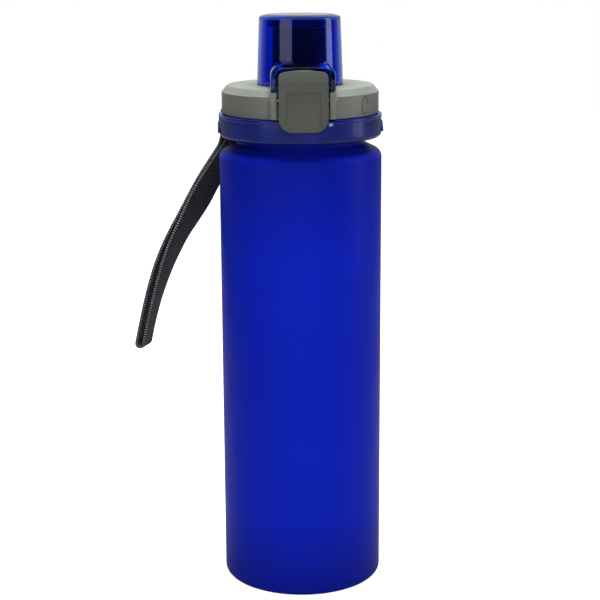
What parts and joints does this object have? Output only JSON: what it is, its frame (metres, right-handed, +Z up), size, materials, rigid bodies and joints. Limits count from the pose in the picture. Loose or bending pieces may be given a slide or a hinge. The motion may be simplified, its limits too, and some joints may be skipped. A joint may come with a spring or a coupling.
{
  "type": "sports bottle",
  "caption": "Straight rigid drinking bottle with a screw-on lid, spring flip cap over a spout, rocking thumb latch, turning lock ring and webbing wrist strap.",
  "frame": {"origin": "centre of the base, on the plane that the bottle stands on", "axes": "+Z up the bottle's axis, -Y towards the latch, +Y towards the cap's hinge"},
  "size_m": [0.109, 0.0748, 0.2498],
  "materials": {
    "satin_blue_body": "satin",
    "grey_lid_plastic": "satin",
    "dark_grey_latch": "satin",
    "blue_ring_plastic": "satin",
    "clear_blue_cap": "gloss",
    "silicone": "matte",
    "steel": "satin",
    "webbing": "woven"
  },
  "bodies": {
    "bottle": {"bottle_body": "satin_blue_body"},
    "lid_carrier": {"mouth_gasket": "silicone"},
    "lid": {"inner_cap": "grey_lid_plastic", "lid_cover": "grey_lid_plastic", "vent_valve": "silicone", "hinge_pin": "steel", "latch_pin": "steel", "cap_spring": "steel", "latch_spring": "steel"},
    "ring": {"lock_ring": "blue_ring_plastic", "strap_loop": "webbing"},
    "cap": {"flip_cap": "clear_blue_cap", "spout_seal": "silicone"},
    "thumb_latch": {"latch": "dark_grey_latch"}
  },
  "joints": [
    {"name": "lid_lift", "type": "slide", "parent": "bottle", "child": "lid_carrier", "axis": [0, 0, 1], "range_m": [0, 0.018]},
    {"name": "lid_turn", "type": "hinge", "parent": "lid_carrier", "child": "lid", "pos_m": [0, 0, 0.2082], "axis": [0, 0, 1], "range_deg": [0, 540]},
    {"name": "lock_ring_turn", "type": "hinge", "parent": "lid", "child": "ring", "pos_m": [0, 0, 0.2032], "axis": [0, 0, 1], "range_deg": [0, 32.5]},
    {"name": "cap_hinge", "type": "hinge", "parent": "lid", "child": "cap", "pos_m": [0, 0.0328, 0.2236], "axis": [-1, 0, 0], "range_deg": [0, 115]},
    {"name": "latch_rock", "type": "hinge", "parent": "lid", "child": "thumb_latch", "pos_m": [0, -0.0333, 0.2168], "axis": [1, 0, 0], "range_deg": [0, 5.5], "stiffness_Nm_per_rad": 0.1, "springref_deg": -5.73, "deforming": ["latch_spring"]}
  ],
  "couplings": [
    {"joint": "lid_turn", "follows": "lid_lift", "rad_per_m": 523.6}
  ]
}
